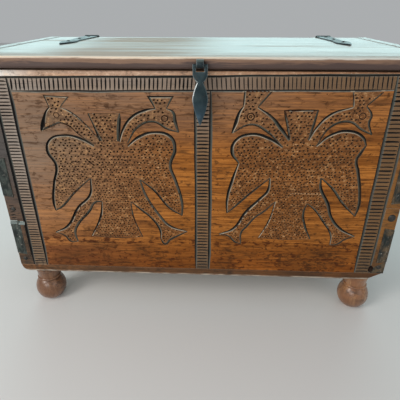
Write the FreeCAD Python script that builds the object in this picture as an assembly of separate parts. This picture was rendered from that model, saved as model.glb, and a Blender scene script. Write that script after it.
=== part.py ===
import FreeCAD, Part
import math
import os

# A plank chest on four turned feet: dovetailed carcass, hinged lid and a hanging hasp.
# Millimetres, +Z up. The origin is on the floor under the middle of the chest, and the front faces -Y.

Vector = FreeCAD.Vector
along_x = Vector(1, 0, 0)
along_y = Vector(0, 1, 0)
along_z = Vector(0, 0, 1)

# Carcass boards
box_width = 800.0
box_depth = 440.0
board_thickness = 20.0
carcass_height = 422.0
rim_round = 8.0
end_rim_round = 3.0

# Dovetails at the four corners: pins on the end boards, tails on the front and back boards
pin_count = 3
pin_width = 78.0
pin_flare = 3.5
pin_proud = 1.5

# Carving on the front board: V cuts that edge the borders and draw a two-headed bird in each panel
carving_width = 5.0
carving_depth = 2.2
carving_taper = 9.0
carving_overrun = 1.0
carving_chord_error = 0.5
top_border_inset = 12.6
top_border_width = 23.8
side_border_gap = 10.0
side_border_width = 30.0
middle_border_offset = 7.0
middle_border_width = 28.0

# Half a bird: shares of half the panel's width, out from its axis, and of the panel's height above its foot
bird_curve_shares = {
    "neck_top": ((0.13, 0.76), (0.20, 0.82), (0.32, 0.88), (0.51, 0.92)),
    "head": ((0.66, 0.92), (0.72, 0.89), (0.78, 0.81)),
    "neck_under": ((0.75, 0.80), (0.67, 0.82), (0.52, 0.85), (0.35, 0.82), (0.23, 0.75)),
    "wing": ((0.23, 0.73), (0.34, 0.78), (0.53, 0.80), (0.70, 0.77), (0.75, 0.72), (0.68, 0.65),
             (0.74, 0.55), (0.80, 0.43), (0.80, 0.37)),
    "wing_under": ((0.77, 0.36), (0.59, 0.44), (0.32, 0.55)),
    "thigh": ((0.30, 0.54), (0.35, 0.47), (0.50, 0.37), (0.65, 0.28), (0.84, 0.24)),
    "toe": ((0.83, 0.22), (0.73, 0.21), (0.64, 0.18), (0.57, 0.17)),
    "shank": ((0.55, 0.19), (0.55, 0.24), (0.45, 0.32), (0.32, 0.38), (0.20, 0.43)),
    "tail": ((0.18, 0.41), (0.21, 0.33), (0.33, 0.22)),
}
bird_straight_shares = {
    "crest": ((0.53, 0.94), (0.43, 0.98), (0.71, 0.98), (0.66, 0.94)),
    "fan_side": ((0.18, 0.89), (0.10, 0.78)),
}
bird_cross_shares = {
    "fan_top": ((-0.16, 0.90), (0.16, 0.90)),
    "tail_foot": ((-0.31, 0.20), (0.31, 0.20)),
}

# Bottom planks, laid along the chest under the carcass
plank_names = ("front", "middle", "back")
bottom_thickness = 18.0
plank_gap = 0.6
lower_end_round = 16.0
lower_edge_round = 3.0

# Turned feet, from the floor up: ball, bead, cove and collar, then a wedged spigot through the bottom
ball_lower_height = 29.0
ball_upper_height = 27.0
bead_height = 6.0
cove_height = 22.0
collar_height = 14.0
foot_flat_radius = 19.0
ball_radius = 34.5
neck_radius = 24.0
bead_radius = 26.5
collar_radius = 27.0
foot_inset = 38.0
foot_setback = 40.0
spigot_radius = 13.0
wedge_thickness = 4.0
wedge_tip = 1.5
wedge_depth = 14.0

# Lid board with a cleat across each end
lid_thickness = 20.0
lid_front_overhang = 13.0
lid_back_recess = 1.0
lid_seat_gap = 0.4
lid_edge_round = 5.0
cleat_thickness = 25.0
cleat_side_gap = 3.0
cleat_drop = 22.0
cleat_proud = 1.0
cleat_edge_round = 3.0
tongue_length = 13.0
tongue_thickness = 7.0
tongue_end_gap = 0.4
tongue_stop = 25.0
peg_count = 3
peg_radius = 4.5
peg_clearance = 0.05
peg_depth_below = 11.0

# Strap hinges
hinge_end_inset = 85.0
strap_thickness = 3.0
strap_length = 236.0
strap_root_width = 36.0
strap_waist_width = 22.0
strap_leaf_width = 32.0
strap_waist_share = 0.58
strap_leaf_share = 0.76
back_leaf_length = 150.0
back_leaf_tip_width = 22.0
barrel_radius = 5.0
barrel_back_gap = 0.5
barrel_clearance = 0.5
knuckle_width = 14.0
knuckle_gap = 0.4
hinge_pin_radius = 2.5
hinge_pin_clearance = 0.05
hinge_pin_head_radius = 3.6
hinge_pin_head_length = 2.0

# Iron eye in the lid's front edge
hasp_offset = 3.5
eye_inner_radius = 5.3
eye_strap_thickness = 2.0
eye_strap_width = 12.5
eye_tail_length = 36.0

# Hasp that hangs in the eye
hasp_bar_radius = 2.5
hasp_seat_gap = 0.3
hasp_straight_length = 75.0
hasp_curl_radius = 40.0
hasp_curl_angle = 38.0
hasp_lean = 0.5
hasp_thickness = 4.0
hasp_head_width = 25.5
hasp_neck_width = 10.0
hasp_blade_width = 27.5
hasp_slot_side_gap = 1.0
hasp_slot_end_gap = 0.6
hasp_head_share = 0.15
hasp_neck_share = 0.275
hasp_blade_share = 0.56

# Forged nails
nail_head_radius = 5.0
nail_head_height = 2.2
nail_shank_radius = 1.6
nail_point_length = 4.0
strap_nail_length = 15.0
corner_nail_length = 42.0
corner_nail_inset = 13.0
bottom_nail_length = 40.0
bottom_nail_sink = 0.6
nails_per_long_edge = 5
nails_per_plank_end = 2
lid_strap_nail_shares = (0.10, 0.42, 0.76)
back_leaf_nail_shares = (0.14, 0.46, 0.80)

# Corners this close to a face count as lying on it
same_place = 0.001

# Levels and faces that several pieces share
foot_height = ball_lower_height + ball_upper_height + bead_height + cove_height + collar_height
bottom_z = foot_height
carcass_z = bottom_z + bottom_thickness
rim_z = carcass_z + carcass_height
lid_z = rim_z + lid_seat_gap
lid_top_z = lid_z + lid_thickness
half_width = box_width / 2

eye_outer_radius = eye_inner_radius + eye_strap_thickness
hasp_curl_drop = hasp_curl_radius * math.sin(math.radians(hasp_curl_angle))
hasp_curl_inside = hasp_curl_radius - hasp_thickness / 2
hasp_tip_reach = hasp_curl_radius - hasp_lean - math.sqrt(hasp_curl_inside**2 - hasp_curl_drop**2)
front_reach = lid_front_overhang + eye_outer_radius + max(eye_outer_radius, hasp_tip_reach)
back_reach = barrel_back_gap + 2 * barrel_radius
front_y = front_reach - (front_reach + box_depth + back_reach) / 2
back_y = front_y + box_depth
lid_front_y = front_y - lid_front_overhang
lid_back_y = back_y - lid_back_recess

side_border_outer_x = half_width - board_thickness - side_border_gap
side_border_inner_x = side_border_outer_x - side_border_width
middle_border_left_x = middle_border_offset - middle_border_width / 2
middle_border_right_x = middle_border_offset + middle_border_width / 2
top_border_high_z = rim_z - top_border_inset
top_border_low_z = top_border_high_z - top_border_width
panel_height = top_border_low_z - carcass_z

cleat_inner_x = half_width + cleat_side_gap
cleat_outer_x = cleat_inner_x + cleat_thickness
cleat_top_z = lid_top_z + cleat_proud
tongue_z = lid_z + (lid_thickness - tongue_thickness) / 2
tongue_front_y = lid_front_y + tongue_stop
tongue_back_y = lid_back_y - tongue_stop

hinge_y = back_y + barrel_back_gap + barrel_radius
hinge_z = lid_top_z
strap_end_y = hinge_y - barrel_radius - barrel_clearance
hinge_places = {"left": hinge_end_inset - half_width, "right": half_width - hinge_end_inset}

eye_y = lid_front_y - eye_outer_radius
eye_z = lid_z + lid_thickness / 2
hasp_y = eye_y
hasp_z = eye_z - (eye_inner_radius - hasp_bar_radius - hasp_seat_gap)
hasp_length = hasp_straight_length + hasp_curl_drop
hasp_slot_width = eye_strap_width + 2 * hasp_slot_side_gap
hasp_slot_bottom = eye_z + eye_outer_radius - hasp_z + hasp_slot_end_gap


def block(x0, x1, y0, y1, z0, z1):
    return Part.makeBox(x1 - x0, y1 - y0, z1 - z0, Vector(x0, y0, z0))


def rod(radius, start, axis, length):
    return Part.makeCylinder(radius, length, start, axis)


def line(a, b):
    return Part.LineSegment(a, b).toShape()


def arc(a, middle, b):
    return Part.Arc(a, middle, b).toShape()


def prism(points, sweep):
    return Part.Face(Part.makePolygon(points + points[:1])).extrude(sweep)


def plate(edges, sweep):
    return Part.Face(Part.Wire(Part.__sortEdges__(edges))).extrude(sweep)


def turned(edges):
    return Part.Face(Part.Wire(edges)).revolve(Vector(), along_z, 360)


def near(a, b):
    return abs(a - b) < same_place


def edges_where(shape, test):
    return [edge for edge in shape.Edges if all(test(v.Point) for v in edge.Vertexes)]


def spread(count, low, high):
    """Evenly spaced places inside a span, with a half step left at each end."""
    step = (high - low) / count
    return [low + step * (number + 1 / 2) for number in range(count)]


def save(name, *solids):
    shape = solids[0] if len(solids) == 1 else Part.makeCompound(solids)
    shape.exportStep(os.path.join("parts", name + ".step"))


# Forged nails

def nail(seat, direction, length):
    """A nail whose domed head sits on a face at seat and whose shank runs along direction into the wood."""
    dome_radius = (nail_head_radius**2 + nail_head_height**2) / (2 * nail_head_height)
    half_angle = math.asin(nail_head_radius / dome_radius) / 2
    dome_base = nail_head_height - dome_radius
    crown = Vector(0, 0, nail_head_height)
    shoulder = Vector(dome_radius * math.sin(half_angle), 0, dome_base + dome_radius * math.cos(half_angle))
    rim = Vector(nail_head_radius, 0, 0)
    shank_top = Vector(nail_shank_radius, 0, 0)
    shank_end = Vector(nail_shank_radius, 0, nail_point_length - length)
    point = Vector(0, 0, -length)
    solid = turned([arc(crown, shoulder, rim), line(rim, shank_top), line(shank_top, shank_end),
                    line(shank_end, point), line(point, crown)])
    solid.Placement = FreeCAD.Placement(seat, FreeCAD.Rotation(along_z, -direction))
    return solid


# Dovetailed carcass

def pin_centres():
    return spread(pin_count, carcass_z, rim_z)


def tail_centres():
    """The lowest half tail and the whole tails above it, where the corner nails go."""
    centres = pin_centres()
    lowest = (carcass_z + centres[0] - pin_width / 2) / 2
    return [lowest] + [(a + b) / 2 for a, b in zip(centres, centres[1:])]


def pins(side, outer_y, inner_y):
    """The pins of one end board, wider inside than outside, between the two faces of a tail board."""
    outer = side * half_width
    inner = side * (half_width - board_thickness)
    narrow = pin_width / 2
    wide = narrow + pin_flare
    shapes = []
    for z in pin_centres():
        section = [Vector(inner, outer_y, z - wide), Vector(outer, outer_y, z - narrow),
                   Vector(outer, outer_y, z + narrow), Vector(inner, outer_y, z + wide)]
        shapes.append(prism(section, along_y * (inner_y - outer_y)))
    return shapes


def tail_board(outer_y, inner_y):
    """A front or back board of full width, with sockets for the end boards' pins."""
    y0, y1 = sorted((outer_y, inner_y))
    board = block(-half_width, half_width, y0, y1, carcass_z, rim_z)
    board = board.makeFillet(rim_round, edges_where(board, lambda p: near(p.y, outer_y) and near(p.z, rim_z)))
    return board.cut(pins(-1, outer_y, inner_y) + pins(1, outer_y, inner_y))


def end_board(side):
    """A left or right board: its body between the front and back boards, and pins a little proud of them."""
    x0, x1 = sorted((side * (half_width - board_thickness), side * half_width))
    body = block(x0, x1, front_y + board_thickness, back_y - board_thickness, carcass_z, rim_z)
    rim = edges_where(body, lambda p: near(p.x, side * half_width) and near(p.z, rim_z))
    body = body.makeFillet(end_rim_round, rim)
    front_pins = pins(side, front_y - pin_proud, front_y + board_thickness)
    back_pins = pins(side, back_y + pin_proud, back_y - board_thickness)
    return body.multiFuse(front_pins + back_pins).removeSplitter()


# Carving on the front board

def on_front(x, z):
    return Vector(x, front_y, z)


def tapered(points):
    """A run of points with one at the taper's length from each end, in place of any that lie nearer."""
    for end in ("first", "last"):
        tip, rest = points[0], points[1:]
        while len(rest) > 1 and rest[0].distanceToPoint(tip) <= carving_taper:
            rest = rest[1:]
        full = tip + (rest[0] - tip).normalize() * carving_taper
        points = ([tip, full] + rest)[::-1]
    return points


def groove(points):
    """A V cut along points on the front face, drawn out to nothing at both ends."""
    run = tapered(points)
    above = -along_y * carving_overrun
    over_share = carving_overrun / carving_depth
    half = carving_width / 2 * (1 + over_share)
    ways = [(b - a).normalize() for a, b in zip(run, run[1:])]
    tips = [run[0] + above - ways[0] * (carving_taper * over_share),
            run[-1] + above + ways[-1] * (carving_taper * over_share)]
    left, right, low = [], [], []
    for point, before, after in zip(run[1:-1], ways, ways[1:]):
        across = before.cross(along_y)
        mitre = (across + after.cross(along_y)).normalize()
        side = mitre * (half / mitre.dot(across))
        left.append(point + above + side)
        right.append(point + above - side)
        low.append(point + along_y * carving_depth)
    outlines = [[tips[0]] + left + [tips[1]] + right[::-1]]
    for edge in (left, right):
        outlines.append([tips[0], edge[0], low[0]])
        outlines.append([tips[1], edge[-1], low[-1]])
        for number in range(len(low) - 1):
            outlines.append([edge[number], edge[number + 1], low[number + 1], low[number]])
    faces = [Part.Face(Part.makePolygon(outline + outline[:1])) for outline in outlines]
    return Part.Solid(Part.Shell(faces))


def curve_points(points):
    """A smooth curve through points, as the few chords that keep within the chord error."""
    curve = Part.BSplineCurve()
    curve.interpolate(points)
    return curve.toShape().discretize(QuasiDeflection=carving_chord_error)


def bird_grooves(low_x, high_x):
    """The cuts of one bird, which fills the panel between two borders and is the same on both sides."""
    axis_x = (low_x + high_x) / 2
    half_panel = (high_x - low_x) / 2

    def at(share, side):
        return on_front(axis_x + side * half_panel * share[0], carcass_z + panel_height * share[1])

    cuts = [groove([at(share, 1) for share in shares]) for shares in bird_cross_shares.values()]
    for side in (-1, 1):
        for shares in bird_curve_shares.values():
            cuts.append(groove(curve_points([at(share, side) for share in shares])))
        for shares in bird_straight_shares.values():
            cuts.append(groove([at(share, side) for share in shares]))
    return cuts


def border_groove(start, end):
    """A straight V cut between two points on the front face, with square ends."""
    half = carving_width / 2 * (1 + carving_overrun / carving_depth)
    across = (end - start).normalize().cross(along_y) * half
    top = start - along_y * carving_overrun
    return prism([top - across, top + across, start + along_y * carving_depth], end - start)


def border_grooves():
    """The pairs of cuts that edge the ladder borders along the top, down both sides and down the middle."""
    reach_x = half_width + carving_overrun
    low_z = carcass_z - carving_overrun
    cuts = [border_groove(on_front(-reach_x, top_border_high_z), on_front(reach_x, top_border_high_z)),
            border_groove(on_front(-side_border_inner_x, top_border_low_z),
                          on_front(side_border_inner_x, top_border_low_z))]
    for side_x in (side_border_outer_x, side_border_inner_x):
        for x in (-side_x, side_x):
            cuts.append(border_groove(on_front(x, low_z), on_front(x, top_border_high_z)))
    for x in (middle_border_left_x, middle_border_right_x):
        cuts.append(border_groove(on_front(x, low_z), on_front(x, top_border_low_z)))
    return cuts


def carving():
    left_bird = bird_grooves(-side_border_inner_x, middle_border_left_x)
    right_bird = bird_grooves(middle_border_right_x, side_border_inner_x)
    return left_bird + right_bird + border_grooves()


def corner_nails():
    nails = []
    for side in (-1, 1):
        for z in tail_centres():
            x = side * (half_width - corner_nail_inset)
            nails.append(nail(Vector(x, front_y, z), along_y, corner_nail_length))
            nails.append(nail(Vector(x, back_y, z), -along_y, corner_nail_length))
    return nails


# Bottom planks and the nails that hold them up to the carcass

def bottom_planks():
    """Planks from front to back, with the chest's lower ends worn round and its long lower edges eased."""
    planks = {}
    width = (box_depth - plank_gap * (len(plank_names) - 1)) / len(plank_names)
    for number, name in enumerate(plank_names):
        y0 = front_y + number * (width + plank_gap)
        plank = block(-half_width, half_width, y0, y0 + width, bottom_z, carcass_z)
        ends = edges_where(plank, lambda p: near(p.x, -half_width) and near(p.z, bottom_z))
        ends += edges_where(plank, lambda p: near(p.x, half_width) and near(p.z, bottom_z))
        plank = plank.makeFillet(lower_end_round, ends)
        for face_y in (front_y, back_y):
            eased = edges_where(plank, lambda p: near(p.y, face_y) and near(p.z, bottom_z))
            if eased:
                plank = plank.makeFillet(lower_edge_round, eased)
        planks[name] = plank.cut(spigot_holes())
    return planks


def bottom_nail_places():
    long_edge = spread(nails_per_long_edge, -half_width + board_thickness, half_width - board_thickness)
    long_edge_y = (front_y + board_thickness / 2, back_y - board_thickness / 2)
    places = [(x, y) for x in long_edge for y in long_edge_y]
    short_edge_count = nails_per_plank_end * len(plank_names)
    short_edge = spread(short_edge_count, front_y + board_thickness, back_y - board_thickness)
    end_x = half_width - board_thickness + nail_head_radius
    return places + [(x, y) for y in short_edge for x in (-end_x, end_x)]


def bottom_nails():
    seat_z = bottom_z + bottom_nail_sink + nail_head_height
    return [nail(Vector(x, y, seat_z), along_z, bottom_nail_length) for x, y in bottom_nail_places()]


def bottom_nail_recesses():
    """Round recesses that let the nail heads in below the planks' underside."""
    depth = bottom_nail_sink + nail_head_height
    return [rod(nail_head_radius, Vector(x, y, bottom_z), along_z, depth) for x, y in bottom_nail_places()]


# Turned feet

def foot_places():
    places = {}
    for row, y in (("front", front_y + foot_setback), ("back", back_y - foot_setback)):
        for name, side in (("left", -1), ("right", 1)):
            places[row + "_" + name] = Vector(side * (half_width - foot_inset), y, 0)
    return places


def spigot(place):
    return rod(spigot_radius, place + along_z * bottom_z, along_z, bottom_thickness)


def spigot_holes():
    return [spigot(place) for place in foot_places().values()]


def wedge(place):
    """A wooden wedge driven into the top of a foot's spigot."""
    start = place + Vector(0, -spigot_radius, carcass_z)
    low = -wedge_depth
    section = [start + Vector(-wedge_tip / 2, 0, low), start + Vector(wedge_tip / 2, 0, low),
               start + Vector(wedge_thickness / 2, 0, 0), start + Vector(-wedge_thickness / 2, 0, 0)]
    return prism(section, along_y * (2 * spigot_radius)).common(spigot(place))


def swell(upright, end):
    """An arc in the turning plane that runs straight up at its first point and ends at its second."""
    out = upright.x - end.x
    up = upright.z - end.z
    centre = Vector(upright.x - (out**2 + up**2) / (2 * out), 0, upright.z)
    both = (upright - centre) + (end - centre)
    middle = centre + both.normalize() * upright.distanceToPoint(centre)
    return arc(upright, middle, end)


def foot(place):
    shoulder_z = ball_lower_height + ball_upper_height
    bead_top_z = shoulder_z + bead_height
    cove_top_z = bead_top_z + cove_height
    axis_foot = Vector(0, 0, 0)
    floor_edge = Vector(foot_flat_radius, 0, 0)
    belly = Vector(ball_radius, 0, ball_lower_height)
    shoulder = Vector(neck_radius, 0, shoulder_z)
    bead = Vector(bead_radius, 0, shoulder_z + bead_height / 2)
    neck = Vector(neck_radius, 0, bead_top_z)
    collar = Vector(collar_radius, 0, cove_top_z)
    collar_top = Vector(collar_radius, 0, bottom_z)
    axis_top = Vector(0, 0, bottom_z)
    body = turned([
        line(axis_foot, floor_edge), swell(belly, floor_edge), swell(belly, shoulder),
        arc(shoulder, bead, neck), swell(neck, collar), line(collar, collar_top),
        line(collar_top, axis_top), line(axis_top, axis_foot),
    ])
    body.translate(place)
    return body.fuse(spigot(place)).removeSplitter().cut(wedge(place))


# Lid board, end cleats and the pegs that lock them

def peg_rods(radius):
    low_z = lid_z - peg_depth_below
    rods = []
    for side in (-1, 1):
        x = side * (cleat_inner_x + tongue_length / 2)
        for y in spread(peg_count, lid_front_y, lid_back_y):
            rods.append(rod(radius, Vector(x, y, low_z), along_z, cleat_top_z - low_z))
    return rods


def peg_holes():
    return peg_rods(peg_radius + peg_clearance)


def lid_board():
    board = block(-cleat_inner_x, cleat_inner_x, lid_front_y, lid_back_y, lid_z, lid_top_z)
    long_edges = edges_where(board, lambda p: near(p.y, lid_front_y) and near(p.z, lid_z))
    long_edges += edges_where(board, lambda p: near(p.y, lid_front_y) and near(p.z, lid_top_z))
    board = board.makeFillet(lid_edge_round, long_edges)
    reach = cleat_inner_x + tongue_length
    tongue = block(-reach, reach, tongue_front_y, tongue_back_y, tongue_z, tongue_z + tongue_thickness)
    return board.fuse(tongue).removeSplitter().cut(peg_holes() + [eye_tails()])


def lid_cleat(side):
    x0, x1 = sorted((side * cleat_inner_x, side * cleat_outer_x))
    cleat = block(x0, x1, lid_front_y, lid_back_y, lid_z - cleat_drop, cleat_top_z)
    cleat = cleat.makeFillet(cleat_edge_round, edges_where(cleat, lambda p: near(p.x, side * cleat_outer_x)))
    groove_end = side * (cleat_inner_x + tongue_length + tongue_end_gap)
    groove_x0, groove_x1 = sorted((side * cleat_inner_x, groove_end))
    groove = block(groove_x0, groove_x1, tongue_front_y, tongue_back_y, tongue_z, tongue_z + tongue_thickness)
    return cleat.cut([groove] + peg_holes())


# Strap hinges

def knuckle(x0, x1):
    return rod(barrel_radius, Vector(x0, hinge_y, hinge_z), along_x, x1 - x0)


def pin_bore(hinge_x):
    start = Vector(hinge_x - strap_root_width, hinge_y, hinge_z)
    return rod(hinge_pin_radius + hinge_pin_clearance, start, along_x, 2 * strap_root_width)


def lid_strap(hinge_x):
    """A spear-ended strap along the lid, with the barrel's middle knuckle."""
    def at(length_share, half):
        return Vector(hinge_x + half, strap_end_y - strap_length * length_share, lid_top_z)

    bend_share = (strap_waist_share + strap_leaf_share) / 2
    tip_bend_share = (strap_leaf_share + 1) / 2
    edges = [line(at(0, -strap_root_width / 2), at(0, strap_root_width / 2))]
    for side in (-1, 1):
        root, waist, leaf = (side * w / 2 for w in (strap_root_width, strap_waist_width, strap_leaf_width))
        bend = waist + (leaf - waist) * 3 / 4
        edges.append(line(at(0, root), at(strap_waist_share, waist)))
        edges.append(arc(at(strap_waist_share, waist), at(bend_share, bend), at(strap_leaf_share, leaf)))
        edges.append(arc(at(strap_leaf_share, leaf), at(tip_bend_share, leaf * 2 / 3), at(1, 0)))
    strap = plate(edges, along_z * strap_thickness)
    x0, x1 = hinge_x - knuckle_width / 2, hinge_x + knuckle_width / 2
    tab = block(x0, x1, strap_end_y, hinge_y, lid_top_z, lid_top_z + strap_thickness)
    return strap.multiFuse([tab, knuckle(x0, x1)]).removeSplitter().cut(pin_bore(hinge_x))


def back_leaf(hinge_x):
    """A tapered leaf down the back board, with the barrel's two outer knuckles."""
    root, tip = strap_root_width / 2, back_leaf_tip_width / 2
    top_z = hinge_z - barrel_radius - barrel_clearance
    low_z = top_z - back_leaf_length
    left_top = Vector(hinge_x - root, back_y, top_z)
    right_top = Vector(hinge_x + root, back_y, top_z)
    left_tip = Vector(hinge_x - tip, back_y, low_z + tip)
    right_tip = Vector(hinge_x + tip, back_y, low_z + tip)
    edges = [line(left_top, right_top), line(right_top, right_tip),
             arc(right_tip, Vector(hinge_x, back_y, low_z), left_tip), line(left_tip, left_top)]
    leaf = plate(edges, along_y * strap_thickness)
    inner = knuckle_width / 2 + knuckle_gap
    for x0, x1 in ((hinge_x - root, hinge_x - inner), (hinge_x + inner, hinge_x + root)):
        tab = block(x0, x1, back_y, back_y + strap_thickness, top_z, hinge_z)
        leaf = leaf.multiFuse([tab, knuckle(x0, x1)])
    return leaf.removeSplitter().cut(pin_bore(hinge_x))


def hinge_pin(hinge_x):
    left = Vector(hinge_x - strap_root_width / 2, hinge_y, hinge_z)
    right = Vector(hinge_x + strap_root_width / 2, hinge_y, hinge_z)
    shank = rod(hinge_pin_radius, left, along_x, strap_root_width)
    heads = [rod(hinge_pin_head_radius, right, along_x, hinge_pin_head_length),
             rod(hinge_pin_head_radius, left, -along_x, hinge_pin_head_length)]
    return shank.multiFuse(heads).removeSplitter()


def lid_strap_nails():
    seat_z = lid_top_z + strap_thickness
    return [nail(Vector(x, strap_end_y - strap_length * share, seat_z), -along_z, strap_nail_length)
            for x in hinge_places.values() for share in lid_strap_nail_shares]


def back_leaf_nails():
    """Nails through the back leaves into the back board, below the lid."""
    low_z = hinge_z - barrel_radius - barrel_clearance - back_leaf_length
    levels = [rim_z - (rim_z - low_z) * share for share in back_leaf_nail_shares]
    return [nail(Vector(x, back_y + strap_thickness, z), -along_y, strap_nail_length)
            for x in hinge_places.values() for z in levels]


# Hasp and the eye that it hangs from

def eye_tails():
    """The two tails of the eye, folded together and driven into the lid's front edge."""
    half = eye_strap_width / 2
    back = lid_front_y + eye_tail_length
    return block(hasp_offset - half, hasp_offset + half, eye_y + eye_inner_radius, back,
                 eye_z - eye_strap_thickness, eye_z + eye_strap_thickness)


def hasp_eye():
    start = Vector(hasp_offset - eye_strap_width / 2, eye_y, eye_z)
    hole = rod(eye_inner_radius, start, along_x, eye_strap_width)
    ring = rod(eye_outer_radius, start, along_x, eye_strap_width)
    return ring.fuse(eye_tails()).removeSplitter().cut(hole)


def hasp_front():
    """The hasp's outline from the front: square head, narrow neck, leaf and point."""
    def at(length_share, half):
        reach = hasp_curl_radius + hasp_thickness
        return Vector(hasp_offset + half, hasp_y - reach, hasp_z - hasp_length * length_share)

    neck_bend_share = (hasp_head_share + hasp_neck_share) / 2
    blade_bend_share = (hasp_neck_share + hasp_blade_share) / 2
    tip_bend_share = (hasp_blade_share + 1) / 2
    edges = [line(at(0, -hasp_head_width / 2), at(0, hasp_head_width / 2))]
    for side in (-1, 1):
        head, neck, blade = (side * w / 2 for w in (hasp_head_width, hasp_neck_width, hasp_blade_width))
        neck_bend = neck + (head - neck) * 2 / 3
        blade_bend = neck + (blade - neck) * 2 / 3
        edges.append(line(at(0, head), at(hasp_head_share, head)))
        edges.append(arc(at(hasp_head_share, head), at(neck_bend_share, neck_bend),
                         at(hasp_neck_share, neck)))
        edges.append(arc(at(hasp_neck_share, neck), at(blade_bend_share, blade_bend),
                         at(hasp_blade_share, blade)))
        edges.append(arc(at(hasp_blade_share, blade), at(tip_bend_share, blade * 2 / 3), at(1, 0)))
    return plate(edges, along_y * (2 * (hasp_curl_radius + hasp_thickness)))


def hasp_side():
    """The hasp's outline from the side: a leaning straight run, and a tip that curls away from the chest."""
    x = hasp_offset - hasp_blade_width
    half = hasp_thickness / 2
    inner, outer = hasp_curl_inside, hasp_curl_inside + hasp_thickness
    bend = Vector(x, hasp_y + hasp_lean, hasp_z - hasp_straight_length)
    centre = bend - along_y * hasp_curl_radius

    def on_curl(radius, angle):
        turn = math.radians(angle)
        return centre + Vector(0, radius * math.cos(turn), -radius * math.sin(turn))

    top_front, top_back = Vector(x, hasp_y - half, hasp_z), Vector(x, hasp_y + half, hasp_z)
    past_tip = hasp_curl_angle + math.degrees(hasp_thickness / hasp_curl_radius)
    edges = [
        line(top_front, top_back), line(top_back, on_curl(outer, 0)),
        arc(on_curl(outer, 0), on_curl(outer, past_tip / 2), on_curl(outer, past_tip)),
        line(on_curl(outer, past_tip), on_curl(inner, past_tip)),
        arc(on_curl(inner, past_tip), on_curl(inner, past_tip / 2), on_curl(inner, 0)),
        line(on_curl(inner, 0), top_front),
    ]
    return plate(edges, along_x * (2 * hasp_blade_width))


def hasp():
    half_slot = hasp_slot_width / 2
    slot = block(hasp_offset - half_slot, hasp_offset + half_slot,
                 hasp_y - hasp_thickness, hasp_y + hasp_thickness, hasp_z - hasp_slot_bottom, hasp_z)
    bar_start = Vector(hasp_offset - hasp_head_width / 2, hasp_y, hasp_z)
    bar = rod(hasp_bar_radius, bar_start, along_x, hasp_head_width)
    return hasp_front().common(hasp_side()).cut(slot).fuse(bar).removeSplitter()


def main():
    os.makedirs("parts", exist_ok=True)

    in_corners = corner_nails()
    in_bottom = bottom_nails()
    in_back = back_leaf_nails()
    in_lid = lid_strap_nails()

    front = tail_board(front_y, front_y + board_thickness).cut(carving())
    save("front_board", front.cut(in_corners + in_bottom))
    save("back_board", tail_board(back_y, back_y - board_thickness).cut(in_corners + in_bottom + in_back))
    save("left_end_board", end_board(-1).cut(in_corners + in_bottom))
    save("right_end_board", end_board(1).cut(in_corners + in_bottom))
    save("corner_nails", *in_corners)

    for name, plank in bottom_planks().items():
        save("bottom_plank_" + name, plank.cut(in_bottom + bottom_nail_recesses()))
    save("bottom_nails", *in_bottom)

    for name, place in foot_places().items():
        save(name + "_foot", foot(place))
    save("foot_wedges", *[wedge(place) for place in foot_places().values()])

    save("lid_board", lid_board().cut(in_lid))
    save("lid_left_cleat", lid_cleat(-1))
    save("lid_right_cleat", lid_cleat(1))
    save("cleat_pegs", *peg_rods(peg_radius))

    for name, hinge_x in hinge_places.items():
        save(name + "_hinge_lid_strap", lid_strap(hinge_x).cut(in_lid))
        save(name + "_hinge_back_leaf", back_leaf(hinge_x).cut(in_back))
        save(name + "_hinge_pin", hinge_pin(hinge_x))
    save("lid_strap_nails", *in_lid)
    save("back_leaf_nails", *in_back)

    save("hasp_eye", hasp_eye())
    save("hasp", hasp())


main()
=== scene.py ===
import bpy
import math
import random
import numpy as np
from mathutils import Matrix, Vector


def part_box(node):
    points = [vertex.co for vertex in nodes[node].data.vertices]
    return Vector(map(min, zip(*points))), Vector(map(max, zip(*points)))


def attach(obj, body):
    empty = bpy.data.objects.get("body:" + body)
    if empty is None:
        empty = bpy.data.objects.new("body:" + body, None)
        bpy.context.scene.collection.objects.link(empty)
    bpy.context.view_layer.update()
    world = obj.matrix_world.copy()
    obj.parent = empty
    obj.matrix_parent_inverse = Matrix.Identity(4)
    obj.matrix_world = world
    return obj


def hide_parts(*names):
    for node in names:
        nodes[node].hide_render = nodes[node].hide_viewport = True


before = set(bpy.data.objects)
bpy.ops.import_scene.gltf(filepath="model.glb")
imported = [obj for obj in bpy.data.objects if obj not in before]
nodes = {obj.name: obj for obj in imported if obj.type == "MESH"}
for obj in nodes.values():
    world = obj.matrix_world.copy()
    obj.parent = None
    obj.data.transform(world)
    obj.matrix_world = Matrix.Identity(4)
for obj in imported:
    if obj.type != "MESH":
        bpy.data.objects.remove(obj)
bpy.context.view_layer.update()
bpy.ops.object.select_all(action='DESELECT')
random.seed(11)
print("frame in,", len(nodes), "nodes")

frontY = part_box("front_board")[0].y
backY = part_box("back_board")[1].y
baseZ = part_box("bottom_plank_front")[0].z
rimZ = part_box("front_board")[1].z
quarter = math.radians(90)


# small helpers

def pick(*objs):
    bpy.ops.object.select_all(action='DESELECT')
    for obj in objs:
        obj.select_set(True)
    bpy.context.view_layer.objects.active = objs[-1]


def editMode():
    bpy.ops.object.mode_set(mode='EDIT')


def objectMode():
    bpy.ops.object.mode_set(mode='OBJECT')


def clearPicks(kind):
    # nothing of the mesh stays selected, so that the next lines can select by place
    editMode()
    bpy.ops.mesh.select_mode(type=kind)
    bpy.ops.mesh.select_all(action='DESELECT')
    objectMode()


def placed():
    # the active object, with its place, turn and size taken into the mesh
    bpy.ops.object.transform_apply(location=True, rotation=True, scale=True)
    return bpy.context.object


def weld(gap):
    # ends in edit mode, with everything selected
    editMode()
    bpy.ops.mesh.select_all(action='SELECT')
    bpy.ops.mesh.remove_doubles(threshold=gap)
    bpy.ops.mesh.normals_make_consistent(inside=False)


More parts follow.
